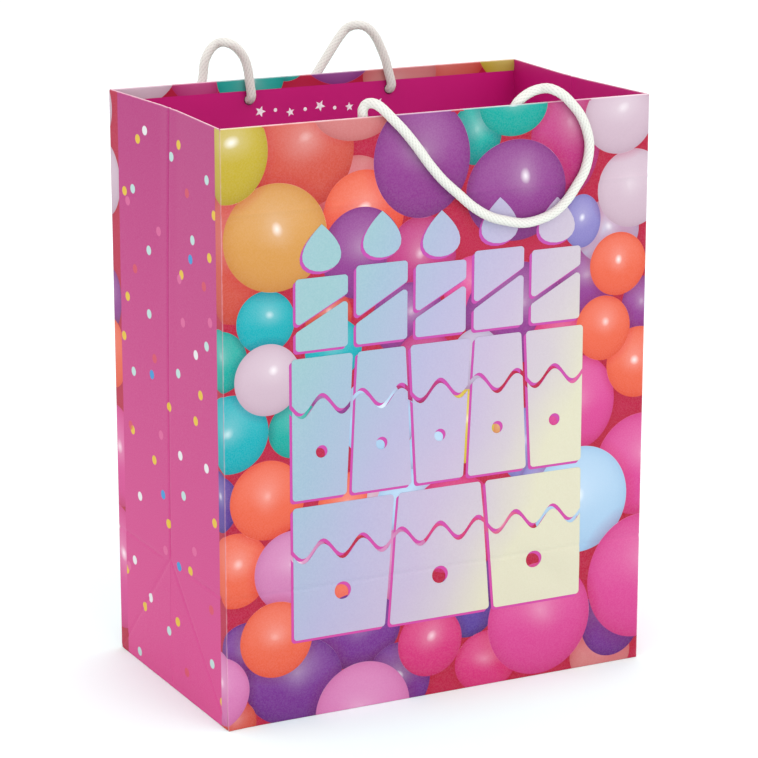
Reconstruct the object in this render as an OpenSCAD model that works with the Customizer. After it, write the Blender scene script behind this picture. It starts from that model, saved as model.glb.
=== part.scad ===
// Gift bag of folded, printed and laminated paper, with two braided cord handles.
// The bag stands on the plane z = 0, centred on the Z axis. Its wide front faces -Y.
// Every printed sheet is built panel by panel, at the creases that it is folded on.

/* [Bag] */
// Width of the bag, outside
bag_w = 260; // [180:1:340]
// Depth of the bag, outside
bag_d = 152; // [100:1:200]
// Height of the bag, to the rim
bag_h = 330; // [240:1:420]

/* [Paper and card] */
// Thickness of the laminated paper
paper_t = 0.4; // [0.2:0.05:0.8]
// Depth of the hem that is turned in at the rim
hem_h = 46; // [36:1:60]
// Width of the strips that the two printed sheets are glued by
glue_w = 16; // [8:1:30]
// Thickness of the card strips that stiffen the hem
stiffener_t = 1.2; // [0.8:0.1:2]
// How much shorter than the wall a card strip is, at each end
stiffener_inset = 4; // [2:1:12]

/* [Base] */
// How far the two bottom flaps run past the middle
flap_overlap = 15; // [5:1:25]
// Thickness of the loose base card
base_card_t = 1.2; // [0.8:0.1:3]
// Room round the loose base card, from the outside of the bag
base_card_room = 3; // [2.5:0.5:8]

/* [Handles] */
// Diameter of the braided cord
cord_d = 5.5; // [4:0.1:6]
// Distance between the two holes of one handle
hole_spacing = 90; // [70:1:110]
// Depth of the holes below the rim
hole_drop = 12; // [10:0.5:16]
// Room round the cord in its hole, on the radius
hole_room = 0.25; // [0.2:0.05:0.5]
// Width of the tab that holds a cord's end behind the hem
tab_w = 14; // [10:1:20]
// Height of that tab
tab_h = 6; // [5.5:0.5:8]

/* [Foil picture] */
// Thickness of the foil layer
foil_t = 0.1; // [0.05:0.05:0.2]
// Width of the picture
picture_w = 180; // [120:1:200]
// Height of the picture's lower edge above the base
picture_z = 45; // [30:1:60]
// Gap between the picture's upper edge and the hem's edge
picture_top_gap = 4; // [2:1:12]
// Share of the picture's height that the lower tier of the cake takes
lower_tier_share = 0.32; // [0.28:0.01:0.34]
// Share of the picture's height that the upper tier of the cake takes
upper_tier_share = 0.335; // [0.28:0.005:0.34]
// Gap between neighbouring blocks of the picture
block_gap = 3; // [2:0.5:5]
// Diameter of the round dots in the lower tier
big_dot_d = 10; // [6:1:14]
// Diameter of the round dots in the upper tier
small_dot_d = 7; // [4:1:10]

/* [Hidden] */

half_w = bag_w / 2;
half_d = bag_d / 2;
in_w = half_w - paper_t;
in_d = half_d - paper_t;
// Depths of the layers of the front and back walls at the hem, from the bag's middle
stiffener_in = in_d - stiffener_t;
hem_in = stiffener_in - paper_t;
flap_len = in_d + flap_overlap;
seam_gap = 0.2;
joggle = 3;
web_gap = 0.8;
web_len = in_d - flap_overlap - seam_gap - joggle - web_gap;
hole_z = bag_h - hole_drop;
window_room = 0.5;
slack = 0.25;
card_lift_gap = 0.1;

// The cord's two planes: up inside the hem, and down outside the wall
cord_in = hem_in - cord_d / 2 - slack;
cord_out = half_d + cord_d / 2 + slack;
cord_sides = 10;

// Routes of the two cords between their legs, chosen by hand. Each point is the place along the
// wall, how far it is from the inner plane (0) to the outer one (1), and its height over the rim.
front_route = [
    [-45, 0, -1], [-44, 0.08, 3.5], [-41, 0.5, 6], [-36.5, 0.93, 4], [-31, 1, -1.5],
    [-25, 1, -7.5], [-17, 1, -17.5], [-9, 1, -28], [-1, 1, -37], [8, 1, -45], [18, 1, -53.5],
    [28, 1, -59.5], [39, 1, -63], [49, 1, -65], [59, 1, -64], [68, 1, -61], [76, 1, -55],
    [82, 1, -47.5], [87, 1, -40], [89.5, 1, -32], [90, 1, -24], [88, 1, -16], [84, 1, -8],
    [78.5, 1, -1.5], [73, 0.93, 3.5], [66, 0.6, 6], [59, 0.3, 6], [53, 0.08, 3.5], [48, 0, -1]
];
front_bends = [0, 4, 23, 28];
back_route = [
    [-46, 0, -1], [-47, 0, 6], [-49, 0.1, 13], [-54, 0.4, 18.5], [-60, 0.65, 21.5],
    [-66, 0.9, 19], [-70, 1, 12], [-71.5, 1, 2], [-74, 1, -9], [-75.5, 1, -19], [-74.5, 1, -29],
    [-70, 1, -38], [-61, 1, -44.5], [-50, 1, -46.5], [-39, 1, -43], [-30, 1, -36.5], [-21, 1, -27],
    [-12, 1, -16.5], [-4, 1, -6.5], [3, 1, 3], [9, 1, 11], [16, 0.9, 21], [22, 0.6, 26],
    [28, 0.4, 26], [34, 0.15, 20.5], [38, 0.05, 13], [41, 0, 6], [43, 0, -1]
];
back_bends = [2, 6, 20, 25];

paper_colour = [0.80, 0.28, 0.55];
print_colour = [0.93, 0.45, 0.55];
inside_colour = [0.72, 0.13, 0.42];
card_colour = [0.78, 0.76, 0.72];
kraft_colour = [0.95, 0.94, 0.93];
cord_colour = [0.95, 0.94, 0.92];
foil_colour = [0.78, 0.80, 0.90];

// ---- Small helpers

function unit(v) = v / norm(v);
function mix(a, b, t) = a + (b - a) * t;

// A wall or a layer of one, from its two opposite corners
module slab(low, high) {
    translate(low)
        cube(high - low);
}

// The same piece on the other side of the bag
module other_side() {
    rotate([0, 0, 180])
        children();
}

// ---- Walls

module wide_panel() {
    slab([-half_w, -half_d, 0], [half_w, -in_d, bag_h]);
}

module gusset() {
    slab([-half_w, -in_d, 0], [-in_w, in_d, bag_h]);
}

// The strip of one sheet that is glued behind the next sheet's edge
module glue_flap() {
    slab([-in_w, -in_d, 3 * paper_t], [-in_w + glue_w, -in_d + paper_t, bag_h - hem_h]);
}

module front_panel() {
    color(print_colour) wide_panel();
}

module back_panel() {
    color(print_colour) other_side() wide_panel();
}

module left_gusset() {
    color(paper_colour) gusset();
}

module right_gusset() {
    color(paper_colour) other_side() gusset();
}

module front_glue_flap() {
    color(kraft_colour) glue_flap();
}

module back_glue_flap() {
    color(kraft_colour) other_side() glue_flap();
}

// ---- Hem and what is in it

module at_holes() {
    for (x = [-hole_spacing / 2, hole_spacing / 2])
        translate([x, 0, hole_z])
            children();
}

// The turned-in edge of a wide panel, folded over the card strip
module wide_hem() {
    difference() {
        union() {
            slab([-in_w, -stiffener_in, bag_h - hem_h], [in_w, -hem_in, bag_h]);
            slab([-in_w, -in_d, bag_h - paper_t], [in_w, -stiffener_in, bag_h]);
        }
        at_holes()
            translate([0, -in_d, 0])
                rotate([-90, 0, 0])
                    cylinder(h = in_d, d = cord_d + 2 * hole_room, $fn = 48);
    }
}

module side_hem() {
    slab([-in_w, -hem_in, bag_h - hem_h], [-in_w + paper_t, hem_in, bag_h]);
}

// A card strip with a window for each tab
module stiffener_card() {
    difference() {
        slab([-in_w + stiffener_inset, -in_d, bag_h - hem_h + stiffener_inset],
             [in_w - stiffener_inset, -stiffener_in, bag_h - paper_t]);
        at_holes()
            slab([-tab_w / 2 - window_room, -half_d, -tab_h / 2 - window_room],
                 [tab_w / 2 + window_room, -hem_in, tab_h / 2 + window_room]);
    }
}

module cord_tabs() {
    at_holes()
        slab([-tab_w / 2, -in_d, -tab_h / 2], [tab_w / 2, -stiffener_in, tab_h / 2]);
}

module front_hem() {
    color(inside_colour) wide_hem();
}

module back_hem() {
    color(inside_colour) other_side() wide_hem();
}

module left_hem() {
    color(inside_colour) side_hem();
}

module right_hem() {
    color(inside_colour) other_side() side_hem();
}

module front_stiffener_card() {
    color(card_colour) stiffener_card();
}

module back_stiffener_card() {
    color(card_colour) other_side() stiffener_card();
}

module front_cord_tabs() {
    color(card_colour) cord_tabs();
}

module back_cord_tabs() {
    color(card_colour) other_side() cord_tabs();
}

// ---- Base

// A bottom flap between its two 45 degree folds, from the front edge to a depth near y = 0
module flap_between(y_from, y_to) {
    linear_extrude(paper_t)
        polygon([
            for (p = [[-1, y_from], [1, y_from], [1, y_to], [-1, y_to]])
                [p.x * (in_w - (p.y + in_d)), p.y]
        ]);
}

module base_front_flap() {
    color(print_colour) flap_between(-in_d, flap_overlap);
}

// The back flap steps up over the front one, and is glued to it
module base_back_flap() {
    color(print_colour) other_side() {
        flap_between(-in_d, -flap_overlap - seam_gap);
        translate([0, 0, paper_t])
            flap_between(-flap_overlap - seam_gap - joggle, flap_overlap);
    }
}

// The gusset's own flap, folded in first
module tuck() {
    slab([-in_w, -in_d, 2 * paper_t], [-in_w + flap_len, in_d, 3 * paper_t]);
}

module base_left_tuck() {
    color(paper_colour) tuck();
}

module base_right_tuck() {
    color(paper_colour) other_side() tuck();
}

// The triangles of paper folded double between a tuck and a flap
module corner_web() {
    translate([-in_w, -in_d, paper_t])
        linear_extrude(paper_t)
            polygon([[0, 0], [web_len, 0], [web_len, web_len]]);
}

module base_corner_webs() {
    color(paper_colour)
        for (flip = [0, 1]) {
            mirror([flip, 0, 0]) corner_web();
            mirror([flip, 0, 0]) mirror([0, 1, 0]) corner_web();
        }
}

module base_card() {
    low_z = 3 * paper_t + card_lift_gap;
    color(card_colour)
        slab([-half_w + base_card_room, -half_d + base_card_room, low_z],
             [half_w - base_card_room, half_d - base_card_room, low_z + base_card_t]);
}

// ---- Foil picture: five candles on a cake of two tiers, in blocks with gaps between them

tier_gap = 4;
picture_h = bag_h - hem_h - picture_top_gap - picture_z;
lower_tier_h = lower_tier_share * picture_h;
upper_tier_h = upper_tier_share * picture_h;
upper_tier_z = picture_z + lower_tier_h + tier_gap;
candle_z = upper_tier_z + upper_tier_h + tier_gap;
corner_r = 2;
corner_steps = 4;
wave_steps = 36;
icing_share = 0.34;
icing_wave = 5;
icing_period = 24;

// Corner b of an outline, rounded to radius r
function round_corner(a, b, c, r) =
    let (u = unit(a - b), w = unit(c - b), half = acos(u * w) / 2,
         middle = b + unit(u + w) * r / sin(half),
         p = b + u * r / tan(half) - middle, q = b + w * r / tan(half) - middle)
    [for (k = [0 : corner_steps]) middle + r * unit(mix(p, q, k / corner_steps))];

function rounded(outline, r) =
    let (n = len(outline))
    [for (i = [0 : n - 1])
        each round_corner(outline[(i + n - 1) % n], outline[i], outline[(i + 1) % n], r)];

// A tier's block edges lean one way and the other. edge k of count + 1, at height share s
function block_edge(count, k, s, lean) =
    let (x = -picture_w / 2 + k * picture_w / count)
    k == 0 || k == count ? x : x + (k % 2 == 0 ? -1 : 1) * lean * (s - 0.5) * 2;

function block_left(count, k, s, lean) =
    block_edge(count, k, s, lean) + (k == 0 ? 0 : block_gap / 2);

function block_right(count, k, s, lean) =
    block_edge(count, k + 1, s, lean) - (k + 1 == count ? 0 : block_gap / 2);

// Height of the middle of the gap between the icing and the cake
function wave_z(x, z) = z + icing_wave * cos(360 * x / icing_period);

// One block of a tier: the cake below the wave, and the icing above it
module tier_block(count, k, z, h, lean, dot_d) {
    icing_h = icing_share * h;
    s = (h - icing_h) / h;
    x0 = block_left(count, k, s, lean);
    x1 = block_right(count, k, s, lean);
    low = [[block_left(count, k, 0, lean), z], [block_right(count, k, 0, lean), z]];
    top = [[block_right(count, k, 1, lean), z + h], [block_left(count, k, 1, lean), z + h]];
    wave = [for (i = [0 : wave_steps]) let (x = mix(x1, x0, i / wave_steps))
        [x, wave_z(x, z + h - icing_h)]];
    lift = [0, block_gap / 2];
    difference() {
        polygon(concat(
            round_corner([x0, z + h / 2], low[0], low[1], corner_r),
            round_corner(low[0], low[1], [x1, z + h / 2], corner_r),
            [for (p = wave) p - lift]));
        translate([(x0 + x1) / 2, z + (h - icing_h) / 2])
            circle(d = dot_d, $fn = 32);
    }
    polygon(concat(
        round_corner([x1, z + h - icing_h], top[0], top[1], corner_r),
        round_corner(top[0], top[1], [x0, z + h - icing_h], corner_r),
        [for (i = [wave_steps : -1 : 0]) wave[i] + lift]));
}

candle_w = 31;
candle_extra = [0, 4, 1, 5, 2];
candle_row_h = picture_z + picture_h - candle_z;
flame_h = 0.35 * candle_row_h;
flame_w = 23;
flame_steps = 24;
candle_h = candle_row_h - flame_h - block_gap - max(candle_extra);

// A candle with a slanting stripe cut through it, and its flame
module candle(x, extra) {
    h = candle_h + extra;
    cut = h / 2;
    stripe_rise = 0.2 * h;
    sides = [x - candle_w / 2, x + candle_w / 2];
    polygon(rounded([
        [sides[0], candle_z], [sides[1], candle_z],
        [sides[1], candle_z + cut + stripe_rise - block_gap / 2],
        [sides[0], candle_z + cut - stripe_rise - block_gap / 2]], corner_r));
    polygon(rounded([
        [sides[0], candle_z + cut - stripe_rise + block_gap / 2],
        [sides[1], candle_z + cut + stripe_rise + block_gap / 2],
        [sides[1], candle_z + h], [sides[0], candle_z + h]], corner_r));
    // A drop shape, pointed at the top
    translate([x, candle_z + h + block_gap + flame_h / 2])
        polygon([for (k = [0 : flame_steps - 1]) let (a = 360 * k / flame_steps)
            [flame_w * 0.65 * sin(a) * sin(a / 2), flame_h / 2 * cos(a)]]);
}

module foil_blocks() {
    for (k = [0 : 2])
        tier_block(3, k, picture_z, lower_tier_h, 3, big_dot_d);
    for (k = [0 : 4])
        tier_block(5, k, upper_tier_z, upper_tier_h, 2, small_dot_d);
    for (k = [0 : 4])
        candle((k - 2) * picture_w / 5, candle_extra[k]);
}

module foil_picture() {
    translate([0, -half_d, 0])
        rotate([90, 0, 0])
            linear_extrude(foil_t)
                foil_blocks();
}

module front_foil_picture() {
    color(foil_colour) foil_picture();
}

module back_foil_picture() {
    color(foil_colour) other_side() foil_picture();
}

// ---- Cord handles

leg_steps = 3;

// A leg's rings, from its tab's face round a quarter turn to straight up. side is -1 at the front.
function leg(x, side) =
    let (r = stiffener_in - cord_in)
    [for (k = [0 : leg_steps - 1]) let (a = 90 * k / (leg_steps - 1))
        [x, side * (stiffener_in - r * sin(a)), hole_z + r * (1 - cos(a))]];

function backwards(list) = [for (i = [len(list) - 1 : -1 : 0]) list[i]];

function placed(route, side) =
    [for (p = route) [p.x, side * mix(cord_in, cord_out, p.y), bag_h + p.z]];

function whole_cord(route, side) =
    concat(leg(-hole_spacing / 2, side), placed(route, side),
           backwards(leg(hole_spacing / 2, side)));

function direction(line, i, side) =
    i == 0 ? [0, -side, 0] :
    i == len(line) - 1 ? [0, side, 0] :
    unit(line[i + 1] - line[i - 1]);

// Each ring's own sideways direction, carried along the cord without twisting
function carried(line, side, i, last) =
    i == len(line) ? [] :
    let (d = direction(line, i, side), v = unit(last - (last * d) * d))
    concat([v], carried(line, side, i + 1, v));

// The cord from ring a to ring b, as one closed tube
module tube(line, side, a, b) {
    across = carried(line, side, 0, [1, 0, 0]);
    n = cord_sides;
    points = [for (i = [a : b]) let (u = across[i], v = cross(direction(line, i, side), u))
        for (k = [0 : n - 1]) line[i] + cord_d / 2 * (u * cos(360 * k / n) + v * sin(360 * k / n))];
    walls = [for (i = [0 : b - a - 1], k = [0 : n - 1]) let (m = (k + 1) % n)
        each [[i * n + k, i * n + n + k, i * n + m], [i * n + m, i * n + n + k, i * n + n + m]]];
    ends = [[for (k = [0 : n - 1]) k], [for (k = [n - 1 : -1 : 0]) (b - a) * n + k]];
    polyhedron(points, concat(walls, ends));
}

front_cord = whole_cord(front_route, -1);
back_cord = whole_cord(back_route, 1);

module legs(line, side, bends) {
    tube(line, side, 0, leg_steps + bends[0]);
    tube(line, side, leg_steps + bends[3], len(line) - 1);
}

module bends(line, side, bends) {
    tube(line, side, leg_steps + bends[0], leg_steps + bends[1]);
    tube(line, side, leg_steps + bends[2], leg_steps + bends[3]);
}

module loop(line, side, bends) {
    tube(line, side, leg_steps + bends[1], leg_steps + bends[2]);
}

module front_handle_legs() {
    color(cord_colour) legs(front_cord, -1, front_bends);
}

module front_handle_bends() {
    color(cord_colour) bends(front_cord, -1, front_bends);
}

module front_handle_loop() {
    color(cord_colour) loop(front_cord, -1, front_bends);
}

module back_handle_legs() {
    color(cord_colour) legs(back_cord, 1, back_bends);
}

module back_handle_bends() {
    color(cord_colour) bends(back_cord, 1, back_bends);
}

module back_handle_loop() {
    color(cord_colour) loop(back_cord, 1, back_bends);
}

front_panel();
back_panel();
left_gusset();
right_gusset();
front_glue_flap();
back_glue_flap();
front_hem();
back_hem();
left_hem();
right_hem();
front_stiffener_card();
back_stiffener_card();
front_cord_tabs();
back_cord_tabs();
base_front_flap();
base_back_flap();
base_left_tuck();
base_right_tuck();
base_corner_webs();
base_card();
front_foil_picture();
back_foil_picture();
front_handle_legs();
front_handle_bends();
front_handle_loop();
back_handle_legs();
back_handle_bends();
back_handle_loop();
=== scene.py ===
"""A gift bag of folded, printed and laminated paper, with a foil picture and two cord handles.

The bag stands on z = 0 and its wide front faces -Y. Lengths are in metres, unless a name ends in
_mm. Every size that the frame knows is read from it, so the paper lies where the frame's does.
"""

import logging
import math
from dataclasses import dataclass, field
from enum import Enum
from typing import Callable, Sequence

import bmesh
import bpy
from mathutils import Matrix, Vector


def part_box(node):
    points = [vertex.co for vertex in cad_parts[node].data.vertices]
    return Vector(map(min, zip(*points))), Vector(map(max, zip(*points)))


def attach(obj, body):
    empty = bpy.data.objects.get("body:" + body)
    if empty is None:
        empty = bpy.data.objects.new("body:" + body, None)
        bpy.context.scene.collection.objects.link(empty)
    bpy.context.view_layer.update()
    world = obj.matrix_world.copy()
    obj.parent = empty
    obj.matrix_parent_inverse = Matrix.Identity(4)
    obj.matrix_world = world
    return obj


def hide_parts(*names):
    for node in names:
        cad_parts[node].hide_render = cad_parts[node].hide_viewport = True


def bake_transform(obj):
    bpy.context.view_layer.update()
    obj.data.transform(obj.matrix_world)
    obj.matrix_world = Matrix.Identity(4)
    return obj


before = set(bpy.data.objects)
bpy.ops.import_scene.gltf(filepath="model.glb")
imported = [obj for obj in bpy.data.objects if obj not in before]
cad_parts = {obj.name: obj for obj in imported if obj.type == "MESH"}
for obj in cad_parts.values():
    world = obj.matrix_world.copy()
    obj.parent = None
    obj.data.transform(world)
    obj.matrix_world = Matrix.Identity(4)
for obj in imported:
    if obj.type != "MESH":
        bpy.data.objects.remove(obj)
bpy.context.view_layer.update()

log = logging.getLogger("gift_bag")
logging.basicConfig(level=logging.INFO, format="%(message)s")

MM = 0.001
CELL = 3 * MM
HOLE_X = 45 * MM
BAG = "bag"

Plane = tuple[Vector, Vector]
Colour = tuple[float, float, float]


# ---------------------------------------------------------------- sizes from the frame


@dataclass(frozen=True)
class BagSize:
    """The bag's sizes, as the frame's nodes have them."""

    half_w: float
    half_d: float
    height: float
    paper: float
    hem_low: float
    hem_in: float
    tab_in: float
    hole_z: float

    @classmethod
    def from_frame(cls) -> "BagSize":
        """Read the sizes from the boxes of the frame's nodes."""
        low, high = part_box("front_panel")
        hem_low, hem_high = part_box("front_hem")
        tab_low, tab_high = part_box("front_cord_tabs")
        return cls(
            half_w=high[0],
            half_d=-low[1],
            height=high[2],
            paper=high[1] - low[1],
            hem_low=hem_low[2],
            hem_in=-hem_high[1],
            tab_in=-tab_high[1],
            hole_z=(tab_low[2] + tab_high[2]) / 2,
        )


SIZE = BagSize.from_frame()


class Side(Enum):
    """The four walls, each with the quarter turns about Z that bring it from the front."""

    FRONT = 0
    RIGHT = 1
    BACK = 2
    LEFT = 3

    @property
    def turn(self) -> Matrix:
        """The turn from the front to this side."""
        return Matrix.Rotation(self.value * math.pi / 2, 4, "Z")

    @property
    def wide(self) -> bool:
        """Whether this is one of the two wide walls."""
        return self in (Side.FRONT, Side.BACK)

    @property
    def half_width(self) -> float:
        """Half of the wall's own width."""
        return SIZE.half_w if self.wide else SIZE.half_d - SIZE.paper

    @property
    def distance(self) -> float:
        """How far the wall's outer face is from the Z axis."""
        return SIZE.half_d if self.wide else SIZE.half_w


# ---------------------------------------------------------------- shader maths


def linear(red: int, green: int, blue: int) -> Colour:
    """A display colour, 0 to 255 a channel, as the linear colour that a shader takes."""

    def channel(value: int) -> float:
        share = value / 255
        return share / 12.92 if share <= 0.04045 else ((share + 0.055) / 1.055) ** 2.4

    return channel(red), channel(green), channel(blue)


def ink(red: int, green: int, blue: int, light: float = 1.36, gloss: float = 0.025) -> Colour:
    """The base colour that comes out as a display colour in the studio's light.

    Args:
        red: the display colour's red, 0 to 255.
        green: its green.
        blue: its blue.
        light: how much light falls on the paper.
        gloss: how much white its surface reflects.

    Returns:
        The linear base colour.
    """
    return tuple(max(0.001, (channel - gloss) / light) for channel in linear(red, green, blue))


@dataclass
class Num:
    """A number in a material: a socket with arithmetic on it."""

    shader: "Shader"
    socket: bpy.types.NodeSocket

    def math(self, operation: str, *others: "Num | float", clamp: bool = False) -> "Num":
        """Put this number first into a Math node.

        Args:
            operation: the Math node's operation.
            others: the node's other values.
            clamp: whether the result is kept between 0 and 1.

        Returns:
            The node's result.
        """
        return self.shader.maths(operation, self, *others, clamp=clamp)

    def __add__(self, other: "Num | float") -> "Num":
        """This number plus another."""
        return self.math("ADD", other)

    def __radd__(self, other: float) -> "Num":
        """Another number plus this one."""
        return self.math("ADD", other)

    def __sub__(self, other: "Num | float") -> "Num":
        """This number less another."""
        return self.math("SUBTRACT", other)

    def __rsub__(self, other: float) -> "Num":
        """Another number less this one."""
        return self.shader.maths("SUBTRACT", other, self)

    def __mul__(self, other: "Num | float") -> "Num":
        """This number times another."""
        return self.math("MULTIPLY", other)

    def __rmul__(self, other: float) -> "Num":
        """Another number times this one."""
        return self.math("MULTIPLY", other)

    def __truediv__(self, other: "Num | float") -> "Num":
        """This number divided by another."""
        return self.math("DIVIDE", other)

    def clamped(self) -> "Num":
        """This number kept between 0 and 1."""
        return self.math("ADD", 0.0, clamp=True)

    def ramp(self, start: float, end: float) -> "Num":
        """0 where this number is at start, 1 at end, straight between and kept to 0 and 1."""
        slope = 1 / (end - start)
        return self.math("MULTIPLY_ADD", slope, -start * slope, clamp=True)

    def near(self, place: float, reach: float) -> "Num":
        """1 where this number is at place, falling to 0 at reach away from it."""
        return (self - place).math("ABSOLUTE").ramp(reach, 0.0)


class Shader:
    """Adds nodes to a material or a node group."""

    def __init__(self, tree: bpy.types.NodeTree) -> None:
        """Start with an empty tree."""
        self.tree = tree
        tree.nodes.clear()

    def node(self, kind: str, settings: dict | None = None, values: dict | None = None):
        """Add a node.

        Args:
            kind: the node's type, without ShaderNode in front.
            settings: its properties, set before its sockets.
            values: what its input sockets hold or are linked to, by name or index.

        Returns:
            The node.
        """
        made = self.tree.nodes.new("ShaderNode" + kind)
        for name, value in (settings or {}).items():
            setattr(made, name, value)
        for key, value in (values or {}).items():
            socket = made.inputs[key]
            if isinstance(value, Num):
                self.tree.links.new(value.socket, socket)
            elif isinstance(value, bpy.types.NodeSocket):
                self.tree.links.new(value, socket)
            elif isinstance(value, tuple) and socket.type == "RGBA" and len(value) == 3:
                socket.default_value = (*value, 1.0)
            else:
                socket.default_value = value
        return made

    def maths(self, operation: str, *values: "Num | float", clamp: bool = False) -> Num:
        """The result of one Math node."""
        settings = {"operation": operation, "use_clamp": clamp}
        made = self.node("Math", settings, dict(enumerate(values)))
        return Num(self, made.outputs[0])

    def vectors(self, operation: str, *values, result: str | int = 0):
        """The chosen output of one Vector Math node."""
        made = self.node("VectorMath", {"operation": operation}, dict(enumerate(values)))
        return made.outputs[result]

    def dot(self, first, second) -> Num:
        """The dot product of two vectors."""
        return Num(self, self.vectors("DOT_PRODUCT", first, second, result="Value"))

    def distance(self, first, second) -> Num:
        """The distance between two points."""
        return Num(self, self.vectors("DISTANCE", first, second, result="Value"))

    def blend(self, factor: "Num | float", first, second, blend: str = "MIX"):
        """A colour between two colours, as a socket."""
        settings = {"data_type": "RGBA", "blend_type": blend}
        return self.node("Mix", settings, {0: factor, 6: first, 7: second}).outputs[2]

    def blend_vectors(self, factor: "Num | float", first, second):
        """A vector between two vectors, as a socket."""
        return self.node(
            "Mix", {"data_type": "VECTOR"}, {0: factor, 4: first, 5: second}
        ).outputs[1]

    def scaled(self, vector, factor: float):
        """A vector times a number."""
        return self.vectors("SCALE", vector, (0, 0, 0), (0, 0, 0), factor)

    def place(self):
        """The point being coloured, in the bag's own coordinates."""
        return self.node("TexCoord").outputs["Object"]

    def place_mm(self):
        """The point being coloured, in millimetres."""
        return self.scaled(self.place(), 1000.0)

    def axes(self, vector) -> tuple[Num, Num, Num]:
        """A vector's three numbers."""
        made = self.node("SeparateXYZ", None, {0: vector})
        return tuple(Num(self, made.outputs[k]) for k in range(3))

    def vector(self, x: "Num | float", y: "Num | float", z: "Num | float"):
        """Three numbers as one vector."""
        return self.node("CombineXYZ", None, {0: x, 1: y, 2: z}).outputs[0]

    def noise(self, vector, scale: float, detail: float = 2.0) -> Num:
        """Noise of that scale, from 0 to 1."""
        made = self.node(
            "TexNoise", None, {"Vector": vector, "Scale": scale, "Detail": detail}
        )
        return Num(self, made.outputs["Fac"])

    def ramp_colours(self, factor: Num, stops: Sequence[tuple[float, Colour]]):
        """A colour ramp.

        Args:
            factor: the number that picks the colour.
            stops: each stop's position and colour.

        Returns:
            The colour's socket.
        """
        made = self.node("ValToRGB", None, {0: factor})
        elements = made.color_ramp.elements
        while len(elements) < len(stops):
            elements.new(0.5)
        for element, (position, colour) in zip(elements, stops):
            element.position = position
            element.color = (*colour, 1.0)
        return made.outputs[0]


# ---------------------------------------------------------------- the balloon print


@dataclass(frozen=True)
class Balloon:
    """One printed balloon: its middle from the panel's lower left corner, its size and colour.

    All four sizes are in millimetres, on a panel 260 wide and 330 high.
    """

    u: float
    z: float
    half_u: float
    half_z: float
    colour: Colour


YELLOW = ink(212, 186, 70)
LEMON = ink(236, 208, 84)
AMBER = ink(232, 168, 94)
ORANGE = ink(252, 118, 90)
FLAME = ink(224, 98, 84)
SALMON = ink(226, 140, 140)
PINK_WHITE = ink(226, 198, 214)
SOFT_PINK = ink(232, 139, 196)
LILAC_PINK = ink(226, 144, 195)
HOT_PINK = ink(234, 88, 163)
CERISE = ink(230, 72, 138)
MAGENTA = ink(206, 70, 140)
PURPLE = ink(160, 76, 156)
DEEP_PURPLE = ink(136, 70, 158)
VIOLET = ink(112, 84, 172)
LILAC = ink(158, 148, 212)
PALE_BLUE = ink(192, 222, 250)
TEAL = ink(0, 182, 172)
AQUA = ink(36, 187, 198)
GREY_LILAC = ink(206, 190, 216)
CRIMSON = ink(222, 62, 104)

# What a balloon's shadow leaves of each channel of the colours behind it
SHADE = (0.9, 0.3, 0.45)

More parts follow.
